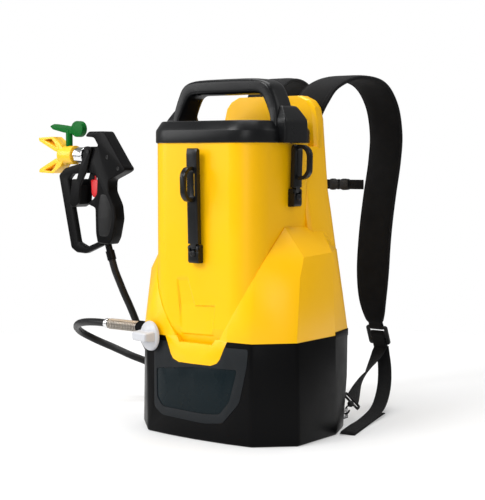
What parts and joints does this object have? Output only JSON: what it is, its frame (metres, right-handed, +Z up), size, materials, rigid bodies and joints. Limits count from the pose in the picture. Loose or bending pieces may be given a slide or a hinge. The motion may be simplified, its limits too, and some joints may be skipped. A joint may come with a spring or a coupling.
{
  "type": "airless paint sprayer",
  "caption": "Backpack airless paint sprayer: paint tank and cowl on a powered base, latched lid with handle, hose, spray gun and shoulder straps.",
  "frame": {"origin": "middle of the flat underside that the base stands on", "axes": "+X to the object's right seen from its front, -Y the front with the badge field, +Y the wearer's side, +Z up"},
  "size_m": [0.6742, 0.4648, 0.5765],
  "materials": {
    "yellow": "moulded, satin gloss",
    "black": "moulded, fine grain",
    "charcoal": "moulded, fine grain",
    "badge_grey": "moulded, fine grain",
    "badge_dark": "gloss",
    "white": "moulded",
    "rubber": "matt",
    "steel": "zinc plated",
    "gear_case": "die cast",
    "spring_steel": "bare spring wire",
    "chrome": "bright plated",
    "bronze": "dull",
    "green": "moulded",
    "red": "moulded",
    "pad_fabric": "woven cover over foam",
    "webbing": "woven tape",
    "hose": "smooth cover",
    "motor_dark": "moulded"
  },
  "bodies": {
    "sprayer": {"badge_field": "badge_dark", "badge_frame": "badge_grey", "base_housing": "black", "battery_pack": "motor_dark", "bottom_cover": "black", "buckle_plug": "black", "buckle_socket": "black", "cowl": "yellow", "gearbox": "gear_case", "hose_coil": "hose", "hose_ferrule": "chrome", "hose_gun_run": "hose", "hose_outlet_run": "hose", "hose_swivel": "black", "inlet_strainer": "rubber", "ladder_lock_left": "black", "ladder_lock_right": "black", "latch_bracket_front": "black", "latch_bracket_left": "black", "latch_bracket_right": "black", "latch_pin_front": "steel", "latch_pin_left": "steel", "latch_pin_right": "steel", "motor": "motor_dark", "outlet_fitting": "steel", "outlet_manifold": "steel", "piston_pump": "steel", "prime_valve": "steel", "shoulder_strap_left": "pad_fabric", "shoulder_strap_right": "pad_fabric", "sternum_webbing_left": "webbing", "sternum_webbing_right": "webbing", "strain_relief_spring": "spring_steel", "strap_bar": "black", "strap_hook_left": "black", "strap_hook_right": "black", "strap_ring_left": "steel", "strap_ring_right": "steel", "strap_tail_left": "webbing", "strap_tail_right": "webbing", "strap_webbing_left": "webbing", "strap_webbing_right": "webbing", "suction_tube": "rubber", "tank": "yellow"},
    "lid": {"lid": "charcoal", "lid_gasket": "rubber", "carry_handle": "charcoal"},
    "front_latch": {"latch_front": "black"},
    "right_latch": {"latch_right": "black"},
    "left_latch": {"latch_left": "black"},
    "knob": {"prime_knob": "white"},
    "gun": {"gun_body": "black", "gun_diffuser": "steel", "housing_nut": "bronze", "trigger_pin": "steel"},
    "trigger": {"trigger": "black"},
    "lock": {"trigger_lock": "red"},
    "tip_guard": {"tip_guard": "yellow"},
    "tip": {"tip_key": "green"}
  },
  "joints": [
    {"name": "lid_lift", "type": "slide", "parent": "sprayer", "child": "lid", "axis": [0, 0, 1], "range_m": [0, 0.08]},
    {"name": "front_latch_turn", "type": "hinge", "parent": "sprayer", "child": "front_latch", "pos_m": [0.002, -0.1085, 0.3], "axis": [1, 0, 0], "range_deg": [0, 40]},
    {"name": "right_latch_turn", "type": "hinge", "parent": "sprayer", "child": "right_latch", "pos_m": [0.113, 0.004, 0.386], "axis": [0, 1, 0], "range_deg": [0, 40]},
    {"name": "left_latch_turn", "type": "hinge", "parent": "sprayer", "child": "left_latch", "pos_m": [-0.113, 0.004, 0.386], "axis": [0, -1, 0], "range_deg": [0, 40]},
    {"name": "prime_turn", "type": "hinge", "parent": "sprayer", "child": "knob", "pos_m": [-0.091, -0.1052, 0.1555], "axis": [-0.2501, -0.9682, 0], "range_deg": [0, 90]},
    {"name": "gun_swivel", "type": "hinge", "parent": "sprayer", "child": "gun", "pos_m": [-0.328, 0.05, 0.28], "axis": [-0.26, -0.07, 0.9631], "range_deg": [-90, 90]},
    {"name": "trigger_pull", "type": "hinge", "parent": "gun", "child": "trigger", "pos_m": [-0.36, 0.05, 0.448], "axis": [0, -1, 0], "range_deg": [0, 10], "stiffness_Nm_per_rad": 3},
    {"name": "lock_turn", "type": "hinge", "parent": "gun", "child": "lock", "pos_m": [-0.358, 0.05, 0.396], "axis": [0, 0, 1], "range_deg": [0, 90]},
    {"name": "guard_turn", "type": "hinge", "parent": "gun", "child": "tip_guard", "pos_m": [-0.42, 0.05, 0.442], "axis": [-1, 0, 0], "range_deg": [-90, 90]},
    {"name": "tip_turn", "type": "hinge", "parent": "tip_guard", "child": "tip", "pos_m": [-0.424, 0.05, 0.442], "axis": [0, 0, 1], "range_deg": [0, 180]}
  ]
}
